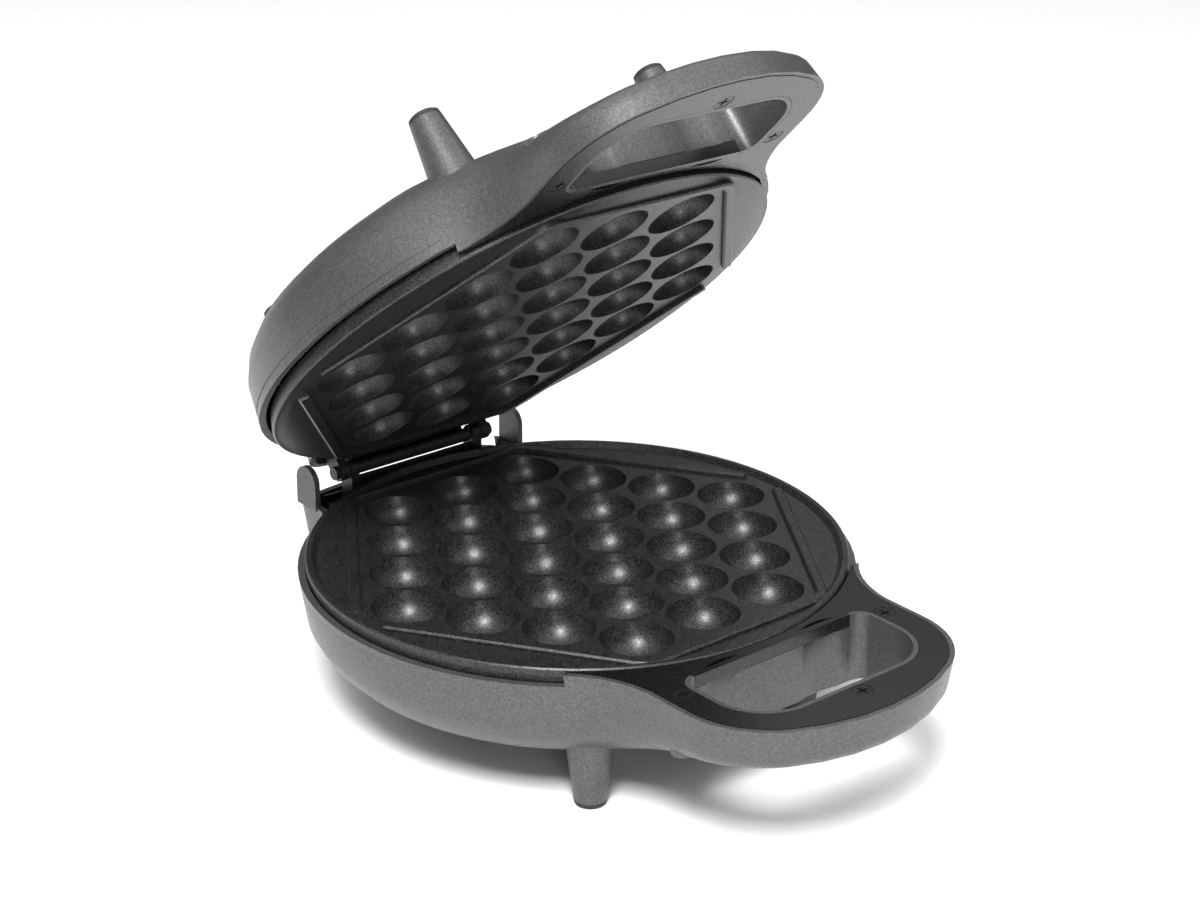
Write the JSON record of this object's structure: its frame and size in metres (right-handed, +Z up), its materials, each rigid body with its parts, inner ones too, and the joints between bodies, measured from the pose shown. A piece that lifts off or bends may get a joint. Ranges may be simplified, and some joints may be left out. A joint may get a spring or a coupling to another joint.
{
  "type": "bubble waffle maker",
  "caption": "Round clamshell electric waffle maker with two hinged halves, cast plates with rows of ball-shaped cups, open grips and tapered feet.",
  "frame": {"origin": "centre of the footprint of the whole object at rest, on the surface that the lower foot pads stand on", "axes": "+Z up, +Y from the grip to the hinge, +X to the right, along the hinge axis"},
  "size_m": [0.1938, 0.2752, 0.2416],
  "materials": {
    "silver_paint": "satin metallic lacquer on moulded plastic, fine flakes",
    "black_cover": "black heat-resistant plastic, fine satin texture",
    "nonstick": "black non-stick coating with fine sparkle on cast aluminium",
    "heater_steel": "steel sheath",
    "zinc_steel": "zinc-plated steel",
    "black_screw": "blackened steel",
    "reflector": "bright sheet",
    "rubber": "matt",
    "black_hinge": "black semi-gloss paint on steel",
    "ceramic": "unglazed ceramic",
    "nylon": "natural nylon",
    "red_lens": "clear red",
    "green_lens": "clear green",
    "board": "green solder mask"
  },
  "bodies": {
    "base": {"lower_casing": "silver_paint", "lower_grip_cover": "black_cover", "lower_cover_screws": "black_screw", "lower_plate": "nonstick", "lower_heater": "heater_steel", "lower_heater_clamps": "zinc_steel", "lower_reflector": "reflector", "lower_plate_screws": "zinc_steel", "lower_foot_pads": "rubber", "hinge_pin": "black_hinge", "lower_hinge_bracket": "black_hinge", "lower_bracket_screws": "black_screw", "thermostat": "ceramic", "thermal_fuse": "zinc_steel", "terminal_block": "nylon", "cord_gland": "rubber"},
    "lid": {"upper_casing": "silver_paint", "upper_grip_cover": "black_cover", "upper_cover_screws": "black_screw", "upper_plate": "nonstick", "upper_heater": "heater_steel", "upper_heater_clamps": "zinc_steel", "upper_reflector": "reflector", "upper_plate_screws": "zinc_steel", "upper_foot_pads": "rubber", "upper_hinge_bracket": "black_hinge", "upper_bracket_screws": "black_screw", "power_lamp_lens": "red_lens", "ready_lamp_lens": "green_lens", "lamp_board": "board"}
  },
  "joints": [
    {"name": "lid_hinge", "type": "hinge", "parent": "base", "child": "lid", "pos_m": [0, 0.11168, 0.0597], "axis": [-1, 0, 0], "range_deg": [-44.3, 40.7]}
  ]
}
